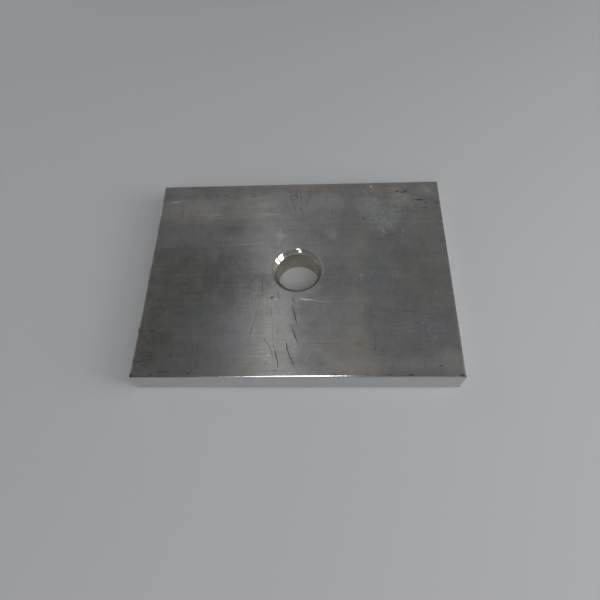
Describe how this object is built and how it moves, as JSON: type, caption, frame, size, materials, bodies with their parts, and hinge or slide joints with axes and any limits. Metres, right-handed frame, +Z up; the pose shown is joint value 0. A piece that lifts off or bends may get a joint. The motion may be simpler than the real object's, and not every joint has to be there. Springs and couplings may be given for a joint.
{
  "type": "backer plate",
  "caption": "Rectangular aluminium backer plate sawn from flat bar, with a countersunk bolt hole through its centre, to spread a bolt's load behind a panel.",
  "frame": {"origin": "centre of the bolt hole on the back face, the face that the plate rests on", "axes": "+X along the bar that the plate was sawn from, +Y across the bar, +Z up through the thickness towards the countersunk front"},
  "size_m": [0.1016, 0.0762, 0.0095],
  "materials": {
    "aluminium": "mill finish, dulled and scratched, with a freshly cut countersink"
  },
  "bodies": {
    "root": {"backer_plate": "aluminium"}
  },
  "joints": []
}
